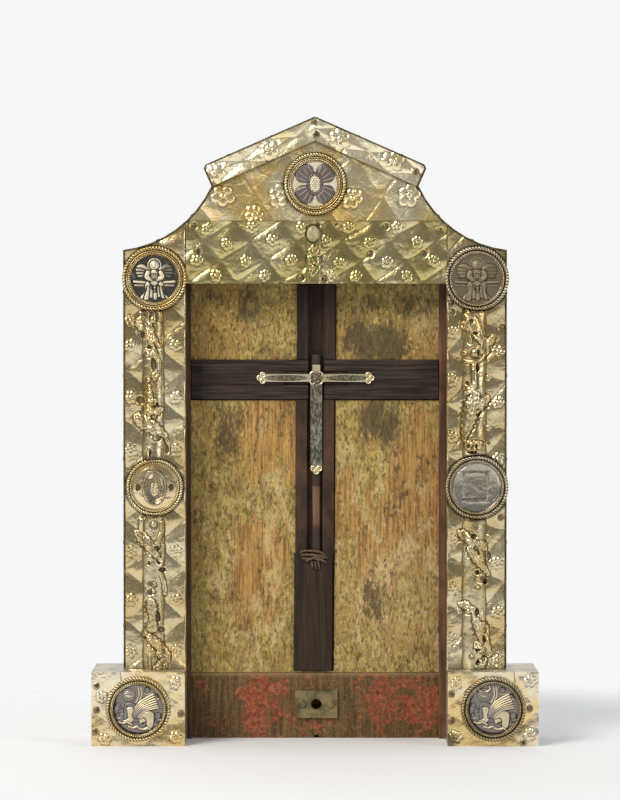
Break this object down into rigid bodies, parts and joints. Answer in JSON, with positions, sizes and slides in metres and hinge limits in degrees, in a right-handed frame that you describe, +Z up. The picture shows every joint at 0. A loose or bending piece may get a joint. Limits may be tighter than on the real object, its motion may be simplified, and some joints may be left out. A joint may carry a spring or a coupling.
{
  "type": "panel reliquary",
  "caption": "Standing shrine-shaped panel reliquary: oak body faced with embossed gilt sheets, gable and rope-edged medallions, framing a painted panel with an inlaid cross.",
  "frame": {"origin": "under the middle of the whole, on the plane that the feet stand on", "axes": "+Z up to the gable's apex, the figured front faces -Y, the flat back faces +Y"},
  "size_m": [0.3138, 0.0644, 0.4425],
  "materials": {
    "oak": "old unfinished oak",
    "oak_trim": "worn red-brown oak",
    "painted_oak": "worn ochre paint over oak",
    "red_painted_oak": "worn red paint over oak",
    "dark_wood": "dark, dull",
    "relic_wood": "rough, split",
    "tie": "dark, dry",
    "silver_gilt": "worn silver-gilt",
    "green_gilt": "greenish worn gilding, embossed",
    "warm_gilt": "warm gilding",
    "pale_gilt": "pale worn gilding",
    "pink_gilt": "pale rosy worn gilding, embossed",
    "grey_gilt": "rubbed and greyed",
    "dark_metal": "dark patina",
    "bronze_rope": "brown patina",
    "worn_silver": "tarnished silver with worn gilding",
    "niello": "black-green inlay with gilt figure",
    "rock_crystal": "clear, polished",
    "pale_stone": "cloudy, polished",
    "old_brass": "dull"
  },
  "bodies": {
    "root": {"bottom_rail": "red_painted_oak", "brass_plate": "old_brass", "centre_strap": "green_gilt", "channel_tie": "tie", "crest_bezel": "warm_gilt", "crest_disc": "worn_silver", "foot_left_bezel": "warm_gilt", "foot_left_disc": "worn_silver", "foot_right_bezel": "bronze_rope", "foot_right_disc": "worn_silver", "gilt_dish": "warm_gilt", "head_board": "oak", "left_chevron": "pale_gilt", "left_edge_lining": "dark_metal", "left_foot_casing": "grey_gilt", "left_foot_core": "oak", "left_foot_sheet": "pink_gilt", "left_lintel_sheet": "green_gilt", "left_plate_screw": "old_brass", "left_recess_fillet": "oak_trim", "left_upright_core": "oak", "left_upright_sheet": "pink_gilt", "middle_left_bezel": "warm_gilt", "middle_right_bezel": "bronze_rope", "oval_crystal": "rock_crystal", "painted_panel": "painted_oak", "pediment_sheet": "warm_gilt", "relic_splinter": "relic_wood", "right_chevron": "pale_gilt", "right_edge_lining": "dark_metal", "right_foot_casing": "grey_gilt", "right_foot_core": "oak", "right_foot_sheet": "pink_gilt", "right_lintel_sheet": "green_gilt", "right_plate_screw": "old_brass", "right_recess_fillet": "oak_trim", "right_upright_core": "oak", "right_upright_sheet": "pink_gilt", "round_crystal": "rock_crystal", "silver_cross": "silver_gilt", "strap_stone": "pale_stone", "top_left_bezel": "warm_gilt", "top_left_disc": "niello", "top_right_bezel": "bronze_rope", "top_right_disc": "worn_silver", "wooden_cross": "dark_wood"}
  },
  "joints": []
}
